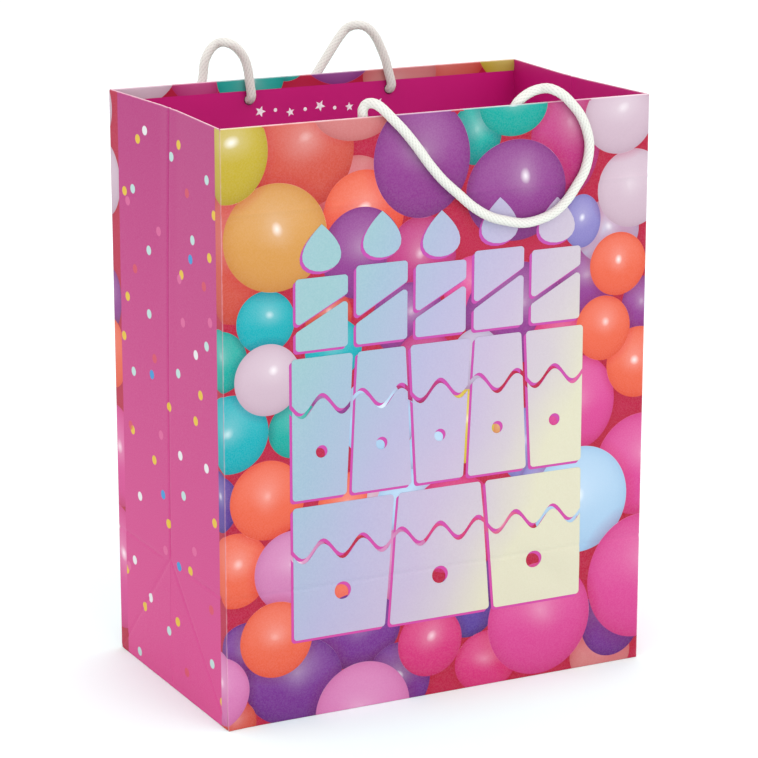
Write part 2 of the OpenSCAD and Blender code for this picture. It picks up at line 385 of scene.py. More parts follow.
# From the furthest back to the nearest
BALLOONS = [
    Balloon(8, 262, 30, 36, FLAME),
    Balloon(78, 290, 22, 20, SALMON),
    Balloon(47, 315, 30, 31, FLAME),
    Balloon(78, 334, 24, 16, SALMON),
    Balloon(83, 278, 24, 24, ORANGE),
    Balloon(62, 225, 14, 14, FLAME),
    Balloon(82, 257, 24, 25, PURPLE),
    Balloon(118, 252, 21, 22, MAGENTA),
    Balloon(150, 231, 18, 18, HOT_PINK),
    Balloon(220, 228, 22, 22, PURPLE),
    Balloon(176, 214, 31, 29, PURPLE),
    Balloon(235, 255, 20, 18, GREY_LILAC),
    Balloon(110, 218, 22, 20, PURPLE),
    Balloon(65, 206, 17, 17, AQUA),
    Balloon(93, 166, 24, 24, PALE_BLUE),
    Balloon(60, 176, 15, 16, PURPLE),
    Balloon(120, 190, 19, 20, MAGENTA),
    Balloon(152, 190, 16, 18, GREY_LILAC),
    Balloon(205, 195, 18, 18, CERISE),
    Balloon(168, 150, 13, 14, AMBER),
    Balloon(146, 153, 18, 21, LEMON),
    Balloon(184, 138, 16, 21, LILAC),
    Balloon(126, 142, 16, 18, PALE_BLUE),
    Balloon(218, 158, 23, 27, HOT_PINK),
    Balloon(260, 117, 30, 30, HOT_PINK),
    Balloon(74, 117, 19, 19, ORANGE),
    Balloon(97, 120, 12, 13, PINK_WHITE),
    Balloon(110, 112, 20, 21, PALE_BLUE),
    Balloon(192, 116, 10, 12, LILAC),
    Balloon(138, 98, 29, 28, CERISE),
    Balloon(168, 92, 22, 22, CERISE),
    Balloon(-7, 128, 15, 17, VIOLET),
    Balloon(12, 42, 18, 18, DEEP_PURPLE),
    Balloon(80, 60, 24, 22, ORANGE),
    Balloon(104, 78, 20, 22, LILAC_PINK),
    Balloon(78, 45, 27, 22, DEEP_PURPLE),
    Balloon(104, 12, 20, 22, DEEP_PURPLE),
    Balloon(40, 22, 29, 25, DEEP_PURPLE),
    Balloon(3, 3, 14, 14, FLAME),
    Balloon(148, 52, 20, 22, VIOLET),
    Balloon(170, 62, 14, 16, DEEP_PURPLE),
    Balloon(235, 6, 20, 16, SALMON),
    Balloon(242, 26, 20, 22, DEEP_PURPLE),
    Balloon(160, 14, 20, 18, CERISE),
    Balloon(-8, 22, 21, 21, SOFT_PINK),
    Balloon(124, 31, 20, 20, CERISE),
    Balloon(82, -2, 29, 28, SOFT_PINK),
    Balloon(6, 90, 20, 21, ORANGE),
    Balloon(25, 127, 22, 22, ORANGE),
    Balloon(40, 85, 23, 23, LILAC_PINK),
    Balloon(29.5, 47.5, 21.5, 21.5, ORANGE),
    Balloon(220, 101, 30.5, 31, PALE_BLUE),
    Balloon(260, 50, 34, 37, HOT_PINK),
    Balloon(194, 34, 33, 33, HOT_PINK),
    Balloon(-3, 206, 17, 17, TEAL),
    Balloon(42, 164, 16, 15.5, TEAL),
    Balloon(25, 225, 17, 17, AQUA),
    Balloon(4, 166, 22, 21.5, AQUA),
    Balloon(26, 193.5, 19.5, 19.5, PINK_WHITE),
    Balloon(207, 309, 22, 33, MAGENTA),
    Balloon(151, 316, 15.5, 17, TEAL),
    Balloon(218, 262, 12, 15, LILAC),
    Balloon(258, 210, 13, 17, PURPLE),
    Balloon(256, 177.5, 20, 20.5, ORANGE),
    Balloon(233, 199.5, 17.5, 18.5, ORANGE),
    Balloon(242, 235.5, 18, 18, ORANGE),
    Balloon(176, 283, 31, 28, PURPLE),
    Balloon(174, 330, 21, 17, TEAL),
    Balloon(31, 270, 30, 29, AMBER),
    Balloon(4, 317, 23, 27, YELLOW),
    Balloon(118, 305, 29, 32, PURPLE),
    Balloon(250, 278, 22, 22, PINK_WHITE),
    Balloon(241, 319, 22, 21, PINK_WHITE),
]


class Print:
    """Base of the printed pictures: one node group, from a place on the paper to its colour."""

    name = "print"

    def __init__(self) -> None:
        """Make the group and draw the picture in it."""
        self.group = bpy.data.node_groups.new(self.name, "ShaderNodeTree")
        faces = self.group.interface
        faces.new_socket("Place", in_out="INPUT", socket_type="NodeSocketVector")
        faces.new_socket("Colour", in_out="OUTPUT", socket_type="NodeSocketColor")
        shader = Shader(self.group)
        place = self.group.nodes.new("NodeGroupInput").outputs[0]
        picture = self.drawn(shader, place)
        end = self.group.nodes.new("NodeGroupOutput")
        self.group.links.new(picture, end.inputs[0])

    def drawn(self, shader: Shader, place):
        """The picture's colour at that place, as a socket; each print has its own."""
        raise NotImplementedError

    def colour(self, shader: Shader, u: Num, z: Num):
        """The print's colour at a place on a wall, in millimetres."""
        made = shader.node("Group", {"node_tree": self.group})
        shader.tree.links.new(shader.vector(u, 0.0, z), made.inputs[0])
        return made.outputs[0]


class BalloonPrint(Print):
    """The printed picture of balloons, which every wide sheet shares."""

    name = "balloon_print"
    edge_sharpness = 60.0
    shadow_reach = 1.55
    shadow_strength = 0.5
    ground_spot = (0.75, 0.0, -0.75)
    fine = 1000.0

    def drawn(self, shader: Shader, place):
        """Paint the balloons one over the other, then shade them all at once."""
        fine_place = shader.scaled(place, self.fine)
        colour = shader.node("RGB").outputs[0]
        colour.default_value = (*CRIMSON, 1.0)
        spot = shader.vector(*self.ground_spot)
        for balloon in BALLOONS:
            colour, spot = self.painted(shader, fine_place, balloon, colour, spot)
        return self.shaded(shader, place, colour, spot)

    def painted(self, shader: Shader, place, balloon: Balloon, colour, spot):
        """Paint one balloon over what is there.

        Args:
            shader: the group's shader.
            place: the point, in thousandths of a millimetre on the panel.
            balloon: the balloon.
            colour: the colour so far.
            spot: the place so far inside the balloon that shows, 1 at its rim.

        Returns:
            The colour and the place inside the balloon, with this balloon on top.
        """
        # This moves the place by thousandths of a millimetre, too little to see. It makes the
        # renderer work the balloons out one by one. It has too little room for them all at once.
        here = shader.vectors("MULTIPLY_ADD", spot, colour, place)
        scale = (1 / self.fine / balloon.half_u, 0.0, 1 / self.fine / balloon.half_z)
        shift = (-balloon.u / balloon.half_u, 0.0, -balloon.z / balloon.half_z)
        inside = shader.vectors("MULTIPLY_ADD", here, scale, shift)
        rim = shader.dot(inside, inside)
        shadow = rim.ramp(self.shadow_reach, 0.9) * self.shadow_strength
        cover = rim.ramp(1 + 1 / self.edge_sharpness, 1.0)
        under = shader.blend(shadow, colour, SHADE, "MULTIPLY")
        return (
            shader.blend(cover, under, balloon.colour),
            shader.blend_vectors(cover, spot, inside),
        )

    def shaded(self, shader: Shader, place, colour, spot):
        """Give the balloons their round shading and their highlights."""
        across, _, up = shader.axes(spot)
        rim = shader.dot(spot, spot)
        dark = (rim * rim * rim).clamped() * 0.3
        low = up.ramp(0.2, -1.1) * 0.2
        light = up.ramp(-0.2, 1.0) * (1 - rim).clamped() * 0.1
        deep = shader.blend(1.0, colour, colour, "MULTIPLY")
        rounded = shader.blend((dark + low).clamped(), colour, deep)
        lifted = shader.blend(light, rounded, (1.0, 0.93, 0.95, 1.0))
        wander = shader.noise(place, 0.021, 1.0) - 0.5
        sheen_at = shader.vector(across + wander * 0.9, 0.0, up + wander * 0.7)
        far = shader.distance(sheen_at, (0.05, 0.0, 0.16))
        glow = far.ramp(0.62, 0.0)
        spark = far.ramp(0.16, 0.02) * shader.noise(place, 0.03, 1.0).ramp(0.42, 0.6)
        shine = (glow * glow * 0.15 + spark * 0.5).clamped()
        return shader.blend(shine, lifted, (1.0, 0.96, 0.97, 1.0))


# ---------------------------------------------------------------- the confetti print


class Fleck(Enum):
    """The colours of the printed confetti."""

    YELLOW = ink(246, 205, 74)
    WHITE = ink(248, 244, 246)
    AQUA = ink(205, 232, 230)
    PINK = ink(240, 118, 170)
    RED = ink(233, 92, 96)
    BLUE = ink(76, 160, 222)


# Places of the flecks on a side wall, from its back edge and from the base, in millimetres
CONFETTI = {
    Fleck.YELLOW: [
        (36, 307), (90, 312), (18, 275), (142, 283), (135, 259), (95, 242), (20, 215), (14, 191),
        (121, 181), (77, 164), (114, 165), (24, 138), (55, 128), (138, 114), (74, 96), (104, 77),
        (11, 51), (37, 36), (86, 42), (145, 14),
    ],
    Fleck.WHITE: [(45, 313), (115, 202), (92, 140), (33, 101), (128, 142), (46, 44), (23, 60)],
    Fleck.AQUA: [
        (80, 304), (132, 300), (29, 278), (111, 264), (50, 247), (50, 211), (130, 210), (27, 173),
        (90, 186), (96, 118), (74, 33), (28, 6), (132, 32),
    ],
    Fleck.PINK: [
        (22, 270), (63, 260), (92, 239), (135, 224), (97, 216), (65, 145), (110, 90), (69, 79),
        (14, 54),
    ],
    Fleck.RED: [(103, 288), (127, 242), (31, 233), (57, 187), (21, 140), (132, 63), (98, 16)],
    Fleck.BLUE: [(108, 253), (53, 177), (67, 111), (88, 75)],
}


class ConfettiPrint(Print):
    """The printed confetti of the side walls."""

    name = "confetti_print"
    half_u = 3.0
    half_z = 2.55
    faint = 0.75
    ground_low = ink(234, 86, 156)
    ground_high = ink(198, 70, 138)

    def drawn(self, shader: Shader, place):
        """Lay the flecks on the magenta ground."""
        height = shader.axes(place)[2].ramp(0.0, SIZE.height / MM)
        colour = shader.blend(height, self.ground_low, self.ground_high)
        for fleck, places in CONFETTI.items():
            strength = self.faint if fleck in (Fleck.PINK, Fleck.RED) else 1.0
            covers = [self.cover(shader, place, u, z) for u, z in places]
            total = covers[0]
            for one in covers[1:]:
                total = total.math("MAXIMUM", one)
            colour = shader.blend(total * strength, colour, fleck.value)
        return colour

    def cover(self, shader: Shader, place, u: float, z: float) -> Num:
        """1 inside the fleck at that place, and 0 outside it."""
        scale = (1 / self.half_u, 0.0, 1 / self.half_z)
        inside = shader.vectors("MULTIPLY_ADD", place, scale, (-u * scale[0], 0.0, -z * scale[2]))
        return shader.dot(inside, inside).ramp(1.2, 0.9)


# ---------------------------------------------------------------- finishes


@dataclass
class Finish:
    """Base of every finish: one material with a Principled surface."""

    name: str
    roughness: float = 0.5
    specular: float = 0.5
    coat: float = 0.0
    grain_scale: float = 900.0
    grain_height: float = 0.00002

    def __post_init__(self) -> None:
        """Make the material and let the finish dress it."""
        self.material = bpy.data.materials.new(self.name)
        self.material.use_nodes = True
        self.shader = Shader(self.material.node_tree)
        self.surface = self.shader.node(
            "BsdfPrincipled",
            None,
            {
                "Roughness": self.roughness,
                "Specular IOR Level": self.specular,
                "Coat Weight": self.coat,
                "Coat Roughness": 0.25,
            },
        )
        end = self.shader.node("OutputMaterial")
        self.shader.tree.links.new(self.surface.outputs[0], end.inputs[0])
        self.colour_in(self.paint(self.shader))
        self.add_grain(self.shader)

    def paint(self, shader: Shader):
        """The base colour, as a socket or a colour; each finish has its own."""
        raise NotImplementedError

    def colour_in(self, colour) -> None:
        """Feed the base colour."""
        if isinstance(colour, tuple):
            self.surface.inputs["Base Color"].default_value = (*colour, 1.0)
        else:
            self.shader.tree.links.new(colour, self.surface.inputs["Base Color"])

    def add_grain(self, shader: Shader) -> None:
        """Roughen the surface a little, with fine noise."""
        spot = shader.place()
        fine = shader.noise(spot, self.grain_scale, 3.0)
        bump = shader.node(
            "Bump", None, {"Distance": self.grain_height, "Strength": 0.6, "Height": fine}
        )
        shader.tree.links.new(bump.outputs[0], self.surface.inputs["Normal"])


def wall_numbers(shader: Shader, side: Side) -> tuple[Num, Num]:
    """How far along a wall a point is, in millimetres, and its height.

    Args:
        shader: the material's shader.
        side: the wall. A wide wall counts from its left edge as seen from outside, and a side
            wall from the edge that it shares with the sheet behind it.

    Returns:
        The two numbers.
    """
    x, y, z = shader.axes(shader.place_mm())
    along = {
        Side.FRONT: lambda: x + SIZE.half_w / MM,
        Side.BACK: lambda: SIZE.half_w / MM - x,
        Side.LEFT: lambda: SIZE.half_d / MM - y,
        Side.RIGHT: lambda: y + SIZE.half_d / MM,
    }
    return along[side](), z


@dataclass
class BalloonPaper(Finish):
    """Laminated paper with the balloon print, whitened a little where it is folded, partly by wear
    and partly as painted highlight.
    """

    side: Side = Side.FRONT
    prints: "Prints | None" = None
    roughness: float = 0.48
    specular: float = 0.12

    def paint(self, shader: Shader):
        """The balloons, with edges whitened partly by wear and partly as painted highlight."""
        u, z = wall_numbers(shader, self.side)
        colour = self.prints.balloons.colour(shader, u, z)
        # Edges and rim whitened, partly by wear and partly as painted highlight
        return folds_worn_and_lit(shader, colour, u, z, 2 * SIZE.half_w / MM)


def folds_worn_and_lit(shader: Shader, colour, u: Num, z: Num, width: float):
    """A print with its folds whitened, partly by wear and partly as painted highlight where the
    folds catch the light, and its speckle of ink.

    Args:
        shader: the material's shader.
        colour: the print.
        u: how far along the wall, in millimetres.
        z: the height, in millimetres.
        width: the wall's width, in millimetres.

    Returns:
        The colour's socket.
    """
    spot = shader.place()
    speckle = shader.noise(spot, 1400.0, 2.0).ramp(0.35, 0.65)
    inked = shader.blend(speckle * 0.03, colour, (1.0, 0.85, 0.92, 1.0))
    broken = shader.noise(spot, 260.0, 3.0).ramp(0.3, 0.7)
    # Whitening at the side edges and at the rim: partly wear, partly painted highlight of the folds
    sides = u.ramp(0.7, 0.0).math("MAXIMUM", u.ramp(width - 0.7, width))
    rim = z.ramp(SIZE.height / MM - 0.9, SIZE.height / MM - 0.1)
    wear_and_sheen = sides.math("MAXIMUM", rim) * (0.05 + broken * 0.22)
    return shader.blend(wear_and_sheen.clamped(), inked, linear(246, 224, 228))


@dataclass
class ConfettiPaper(Finish):
    """Laminated magenta paper with confetti, and a strip of the balloon print at each edge."""

    side: Side = Side.LEFT
    prints: "Prints | None" = None
    roughness: float = 0.48
    specular: float = 0.12
    front_strip: float = 7.5
    back_strip: float = 11.0

    def paint(self, shader: Shader):
        """Confetti between the two strips that run round from the wide walls."""
        u, z = wall_numbers(shader, self.side)
        width = 2 * SIZE.half_d / MM
        confetti = self.prints.confetti.colour(shader, u, z)
        # One balloon print serves both strips: past its right edge, and before its left edge
        nearer_back = u.math("LESS_THAN", width / 2)
        strip_u = nearer_back * (2 * SIZE.half_w / MM + u) + (1 - nearer_back) * (u - width)
        balloons = self.prints.balloons.colour(shader, strip_u, z)
        wobble = shader.noise(shader.place_mm(), 0.03, 1.0) * 1.2
        strips = (u + wobble).ramp(self.back_strip + 0.3, self.back_strip).math(
            "MAXIMUM", (u + wobble).ramp(width - self.front_strip, width - self.front_strip + 0.3)
        )
        colour = shader.blend(strips, confetti, balloons)
        # Edges and rim whitened, partly by wear and partly as painted highlight
        return folds_worn_and_lit(shader, colour, u, z, width)


@dataclass
class FlatConfettiPaper(Finish):
    """The same magenta paper where it lies flat in the base."""

    prints: "Prints | None" = None
    roughness: float = 0.48
    specular: float = 0.12

    def paint(self, shader: Shader):
        """Confetti laid along the base."""
        x, y, _ = shader.axes(shader.place_mm())
        return self.prints.confetti.colour(shader, y + SIZE.half_d / MM, x + SIZE.half_w / MM)


@dataclass
class HemPaper(Finish):
    """The deep magenta inside of the hem, with the print running over the rim."""

    side: Side = Side.FRONT
    prints: "Prints | None" = None
    roughness: float = 0.45
    specular: float = 0.2
    bleed: float = 7.0
    hole: float = 3.05

    def paint(self, shader: Shader):
        """Deep magenta, the mirrored strip of balloons at the rim, and painted shade in the cord
        holes.
        """
        u, z = wall_numbers(shader, self.side)
        top = SIZE.height / MM
        spot = shader.place()
        cloud = shader.noise(spot, 14.0, 2.0)
        ground = shader.blend(cloud, ink(216, 48, 132), ink(226, 56, 142))
        if self.side.wide:
            balloons = self.prints.balloons.colour(shader, u, 2 * top - z)
            strip = z.ramp(top - self.bleed, top - self.bleed + 0.3)
            colour = shader.blend(strip, ground, balloons)
            middle = SIZE.half_w / MM
            # Painted shade: dark discs in the cord holes, which the hem's mesh does not cut
            holes = [
                shader.distance(
                    shader.vector(u, 0.0, z),
                    (middle + way * HOLE_X / MM, 0.0, SIZE.hole_z / MM),
                ).ramp(self.hole + 0.25, self.hole)
                for way in (-1, 1)
            ]
            hole = holes[0].math("MAXIMUM", holes[1])
            colour = shader.blend(hole, colour, (0.05, 0.005, 0.02))
        else:
            colour = ground
        # Rim whitened, partly by wear and partly as painted highlight of the fold
        rim = z.ramp(top - 0.7, top - 0.05)
        patchy_wear_and_sheen = shader.noise(spot, 260.0, 3.0).ramp(0.25, 0.75)
        return shader.blend(rim * (0.45 + patchy_wear_and_sheen * 0.35), colour, linear(246, 222, 228))


@dataclass
class PlainPaper(Finish):
    """The unprinted side of the paper."""

    base: Colour = linear(240, 238, 234)
    roughness: float = 0.8
    specular: float = 0.3
    mottle: float = 0.05

    def paint(self, shader: Shader):
        """Near white, with faint fibres."""
        spot = shader.place()
        fibres = shader.noise(spot, 420.0, 5.0).ramp(0.3, 0.7)
        darker = tuple(0.86 * channel for channel in self.base)
        return shader.blend(fibres * self.mottle * 4, (*self.base, 1.0), (*darker, 1.0))


@dataclass
class FlapPaper(PlainPaper):
    """A glue flap: unprinted inside, and printed on the side that is glued to the wide wall."""

    def paint(self, shader: Shader):
        """Plain paper, and magenta on the outer side."""
        plain = super().paint(shader)
        depth = shader.axes(shader.place_mm())[1].math("ABSOLUTE")
        outer = (SIZE.half_d - 1.5 * SIZE.paper) / MM
        return shader.blend(depth.ramp(outer, outer + 0.05), plain, ConfettiPrint.ground_low)


@dataclass
class GreyCard(PlainPaper):
    """Uncoated card with visible fibres."""

    base: Colour = linear(203, 198, 188)
    roughness: float = 0.9
    mottle: float = 0.2
    grain_scale: float = 500.0
    grain_height: float = 0.00006


@dataclass
class TabPlastic(Finish):
    """Moulded plastic of the cord tabs."""

    roughness: float = 0.4

    def paint(self, shader: Shader):
        """Milky white with faint flow marks."""
        spot = shader.place()
        flow = shader.noise(spot, 90.0, 2.0)
        return shader.blend(flow * 0.3, linear(232, 230, 224), linear(214, 212, 206))


@dataclass
class PastelFoil(Finish):
    """Pearly pastel foil, running from blue through lilac to cream."""

    side: Side = Side.FRONT
    roughness: float = 0.34
    specular: float = 0.6
    coat: float = 0.25
    grain_height: float = 0.000012

    def paint(self, shader: Shader):
        """The slow change of pastel colours across the picture."""
        u, z = wall_numbers(shader, self.side)
        spot = shader.place()
        drift = shader.noise(spot, 16.0, 2.0) - 0.5
        share = (u - 40.0) / 185.0 + (190.0 - z) / 420.0 + drift * 0.16
        pastel = shader.ramp_colours(
            share.clamped(),
            [
                (0.0, ink(158, 200, 208)),
                (0.16, ink(166, 192, 216)),
                (0.42, ink(190, 184, 222)),
                (0.66, ink(208, 188, 220)),
                (0.84, ink(220, 204, 214)),
                (1.0, ink(236, 228, 200)),
            ],
        )
        fine = shader.noise(spot, 1100.0, 2.0).ramp(0.3, 0.7)
        return shader.blend(fine * 0.05, pastel, (1.0, 1.0, 1.0, 1.0))


@dataclass
class ShadowInk(Finish):
    """The printed shadow that lies under the foil."""

    roughness: float = 0.48
    specular: float = 0.12

    def paint(self, shader: Shader):
        """Purple magenta, a little lighter towards the top."""
        height = shader.axes(shader.place_mm())[2]
        return shader.blend(height.ramp(40.0, 290.0), linear(196, 70, 150), linear(178, 74, 160))


@dataclass
class StarInk(Finish):
    """White ink of the small stars on the hem."""

    roughness: float = 0.5

    def paint(self, shader: Shader):
        """White, with the ground showing through a little."""
        spot = shader.place()
        thin = shader.noise(spot, 700.0, 3.0).ramp(0.25, 0.6)
        return shader.blend(thin, linear(236, 196, 216), linear(250, 246, 248))


@dataclass
class BraidedCord(Finish):
    """White braided cord, with painted shade down between its strands."""

    roughness: float = 0.78
    specular: float = 0.25
    grain_scale: float = 2600.0
    grain_height: float = 0.00008

    def paint(self, shader: Shader):
        """Warm white, shaded by how deep the surface lies between the strands."""
        crown = Num(shader, shader.node("Attribute", {"attribute_name": "crown"}).outputs["Fac"])
        spot = shader.place()
        fibres = shader.noise(spot, 1800.0, 3.0).ramp(0.3, 0.7)
        light = shader.blend(fibres * 0.3, linear(226, 223, 217), linear(206, 203, 197))
        # Painted shade in the grooves between the strands, from the braid's crown
        return shader.blend(crown.ramp(0.75, 0.1) * 0.6, light, linear(164, 160, 154))


@dataclass
class FloorPaint(Finish):
    """The pale floor of the studio."""

    roughness: float = 0.9
    specular: float = 0.0

    def paint(self, shader: Shader):
        """Nearly white, and a little cool against the pink that the bag throws on it."""
        return 0.86, 0.97, 0.955


@dataclass
class Prints:
    """The two printed pictures, made once."""

    balloons: BalloonPrint = field(default_factory=BalloonPrint)
    confetti: ConfettiPrint = field(default_factory=ConfettiPrint)


@dataclass
class Finishes:
    """Every finish of the bag, made once."""

    prints: Prints = field(default_factory=Prints)

    def __post_init__(self) -> None:
        """Make one finish for each paper, card, foil, ink and cord."""
        self.walls = {
            side: (BalloonPaper if side.wide else ConfettiPaper)(
                f"printed_paper_{side.name.lower()}", side=side, prints=self.prints
            )
            for side in Side
        }
        self.hems = {
            side: HemPaper(f"hem_paper_{side.name.lower()}", side=side, prints=self.prints)
            for side in Side
        }
        self.foils = {
            side: PastelFoil(f"pastel_foil_{side.name.lower()}", side=side)
            for side in (Side.FRONT, Side.BACK)
        }
        self.base_print = FlatConfettiPaper("base_print", prints=self.prints)
        self.plain = PlainPaper("plain_paper")
        self.flap = FlapPaper("flap_paper")
        self.core = PlainPaper("paper_core", base=ink(226, 150, 178))
        self.card = GreyCard("grey_card")
        self.tab = TabPlastic("tab_plastic")
        self.shadow = ShadowInk("foil_shadow_ink")
        self.stars = StarInk("star_ink")
        self.cord = BraidedCord("white_cord")


# ---------------------------------------------------------------- making pieces


def finished_piece(name: str, bm: bmesh.types.BMesh, *finishes: Finish) -> bpy.types.Object:
    """Turn a bmesh into a piece.

    Args:
        name: the piece's name.
        bm: its mesh, which is freed.
        finishes: its materials, in the order of its slots.

    Returns:
        The object, in the scene.
    """
    mesh = bpy.data.meshes.new(name)
    bm.to_mesh(mesh)
    bm.free()
    for finish in finishes:
        mesh.materials.append(finish.material)
    piece = bpy.data.objects.new(name, mesh)
    bpy.context.scene.collection.objects.link(piece)
    return piece


def grid(columns: int, rows: int, matrix: Matrix) -> bmesh.types.BMesh:
    """A mesh of even cells that fill a unit square, moved and stretched by a matrix."""
    bm = bmesh.new()
    bmesh.ops.create_grid(bm, x_segments=columns, y_segments=rows, size=0.5, matrix=matrix)
    return bm


def smooth_faces(bm: bmesh.types.BMesh) -> None:
    """Shade every face smooth, and keep the sheet's own edges sharp."""
    for face in bm.faces:
        face.smooth = True
    for edge in bm.edges:
        edge.smooth = not edge.is_boundary


def cut_planes(bm: bmesh.types.BMesh, planes: Sequence[Plane]) -> None:
    """Cut every face of a mesh along planes, each given by a point and a normal."""
    for spot, normal in planes:
        geometry = bm.verts[:] + bm.edges[:] + bm.faces[:]
        bmesh.ops.bisect_plane(bm, geom=geometry, plane_co=spot, plane_no=normal)


def thicken(piece: bpy.types.Object, thickness: float, offset: float) -> None:
    """Give a sheet its thickness, with slot 1 on its other side and slot 2 on its edges.

    Args:
        piece: the sheet.
        thickness: how thick it becomes.
        offset: -1 to grow behind its faces, 1 to grow in front of them.
    """
    solid = piece.modifiers.new("thickness", "SOLIDIFY")
    solid.thickness = thickness
    solid.offset = offset
    solid.material_offset = min(1, len(piece.data.materials) - 1)
    solid.material_offset_rim = min(2, len(piece.data.materials) - 1)


# ---------------------------------------------------------------- how the paper bends


def kept(share: float) -> float:
    """A share kept between 0 and 1."""
    return max(0.0, min(1.0, share))


def bump_line(distance: float, half_width: float) -> float:
    """A soft ridge: 1 on a line, and 0 from half_width away from it."""
    share = min(1.0, abs(distance) / half_width)
    return (1 - share * share) ** 2


@dataclass(frozen=True)
class PaperShape:
    """How far the paper of each wall is from flat."""

    fold_z: float = 74 * MM
    panel_hollow: float = 0.9 * MM
    gusset_bow: float = 4.6 * MM
    crease_depth: float = 0.45 * MM
    crease_width: float = 1.6 * MM
    hem_step: float = 0.3 * MM
    dent_at: tuple[float, float] = (66 * MM, 62 * MM)
    dent_lean: tuple[float, float] = (0.55, 0.83)
    dent_half_length: float = 34 * MM
    dent_half_width: float = 11 * MM
    dent_depth: float = 0.7 * MM
    ridge_rise: float = 0.3 * MM
    ridge_gap: float = 13 * MM
    seam_lift: float = 1.1 * MM
    seam_lift_height: float = 16 * MM
    seam_lift_width: float = 22 * MM
    foot_bulge: float = 0.8 * MM

    def wide_wall(self, u: float, z: float) -> float:
        """How far in a wide wall's paper is, at a place from its middle and its foot."""
        inward = self.crease_depth * 0.6 * bump_line(z - self.fold_z, self.crease_width)
        body = kept((SIZE.hem_low - z) / (60 * MM))
        edge = math.cos(kept(abs(u) / SIZE.half_w) * math.pi / 2)
        low = kept((z - self.fold_z) / (60 * MM))
        inward += self.panel_hollow * edge * body * low * math.sin(z / SIZE.height * math.pi)
        inward -= self.hem_step * bump_line(z - SIZE.hem_low, self.crease_width)
        # A dent that runs down to the lower right corner, and its ridge
        right, up = u - self.dent_at[0], z - self.dent_at[1]
        slant = right * self.dent_lean[0] + up * self.dent_lean[1]
        along = bump_line(
            right * self.dent_lean[1] - up * self.dent_lean[0], self.dent_half_length
        )
        dent = bump_line(slant, self.dent_half_width)
        ridge = bump_line(slant - self.ridge_gap, self.dent_half_width)
        inward += along * (self.dent_depth * dent - self.ridge_rise * ridge)
        # The sheet's free edge lifts a little off the one under it, near the floor
        lift = kept(1 - z / self.seam_lift_height) ** 2
        near_edge = kept(1 - (u + SIZE.half_w) / self.seam_lift_width) ** 2
        return inward - self.seam_lift * lift * near_edge

    def side_wall(self, u: float, z: float) -> float:
        """How far in a side wall's paper is, at a place from its middle and its foot."""
        # The slanted creases meet as far above the floor as the gusset's middle is from its edges
        apex = SIZE.half_d
        rise = max(0.0, (z - apex) / (SIZE.height - apex))
        across = max(0.0, 1 - abs(u) / SIZE.half_d)
        soft = across - 0.16 * bump_line(u, 12 * MM)
        inward = self.gusset_bow * rise * rise * max(0.0, soft)
        if z > apex:
            inward += self.crease_depth * bump_line(u, self.crease_width)
        else:
            under = apex - abs(u) - z
            crease = bump_line(under / math.sqrt(2), self.crease_width)
            inward += self.crease_depth * 0.8 * crease
            belly = kept(under / (40 * MM)) * math.sin(kept(z / (30 * MM)) * math.pi / 2)
            inward -= self.foot_bulge * belly
        level = self.crease_depth * 0.8 * bump_line(z - self.fold_z, self.crease_width)
        return inward + level * min(1.0, abs(u) / (20 * MM))

    def inward(self, side: Side) -> Callable[[float, float], float]:
        """The shape of one wall's paper."""
        return self.wide_wall if side.wide else self.side_wall

    def level_cuts(self, z: float) -> list[Plane]:
        """Planes along a level crease."""
        step = self.crease_width / 2
        return [(Vector((0, 0, z + k * step)), Vector((0, 0, 1))) for k in range(-2, 3)]

    def upright_cuts(self) -> list[Plane]:
        """Planes along the crease up the middle of a side wall."""
        step = self.crease_width / 2
        return [(Vector((k * step, 0, 0)), Vector((1, 0, 0))) for k in range(-2, 3)]

    def slanted_cuts(self) -> list[Plane]:
        """Planes along the two slanted creases at the foot of a side wall."""
        apex = Vector((0, 0, SIZE.half_d))
        normals = [Vector((lean, 0, 1)).normalized() for lean in (-1, 1)]
        return [(apex + n * k * self.crease_width, n) for n in normals for k in (-1, 0, 1)]


SHAPE = PaperShape()


# ---------------------------------------------------------------- walls and hems


@dataclass
class WallSheet:
    """One wall of printed paper, from its foot to where the hem folds over."""

    side: Side
    node: str
    slot: str

    def build(self, finishes: Finishes) -> bpy.types.Object:
        """Make the wall and put it on the bag."""
        half, top = self.side.half_width, SIZE.height - fold_radius(self.side)
        across, up = wall_cells(self.side)
        bm = grid(
            round(2 * half / across),
            round(top / up),
            Matrix.Translation((0, 0, top / 2))
            @ Matrix.Rotation(math.pi / 2, 4, "X")
            @ Matrix.Diagonal((2 * half, top, 1, 1)),
        )
        self.cut_creases(bm)
        shape = SHAPE.inward(self.side)
        for vert in bm.verts:
            vert.co.y = shape(vert.co.x, vert.co.z) - self.side.distance
        bmesh.ops.transform(bm, matrix=self.side.turn, verts=bm.verts)
        smooth_faces(bm)
        piece = finished_piece(
            self.node + "_paper", bm, finishes.walls[self.side], finishes.plain, finishes.core
        )
        thicken(piece, SIZE.paper, -1)
        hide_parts(self.node)
        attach(piece, BAG)
        return piece

    def cut_creases(self, bm: bmesh.types.BMesh) -> None:
        """Cut the grid beside each crease, so that the crease is crisp."""
        cuts = SHAPE.level_cuts(SHAPE.fold_z) + SHAPE.level_cuts(SIZE.hem_low)
        if not self.side.wide:
            cuts += SHAPE.upright_cuts() + SHAPE.slanted_cuts()
        cut_planes(bm, cuts)


def fold_radius(side: Side) -> float:
    """The radius of the fold at the rim: round the card on a wide wall, tight on a side wall."""
    inner = SIZE.hem_in if side.wide else SIZE.half_w - 2 * SIZE.paper
    return (side.distance - inner) / 2


def wall_cells(side: Side) -> tuple[float, float]:
    """The width and height of the cells of a wall's grid, each near three millimetres."""
    wide, high = 2 * side.half_width, SIZE.height - fold_radius(side)
    return wide / round(wide / CELL), high / round(high / CELL)


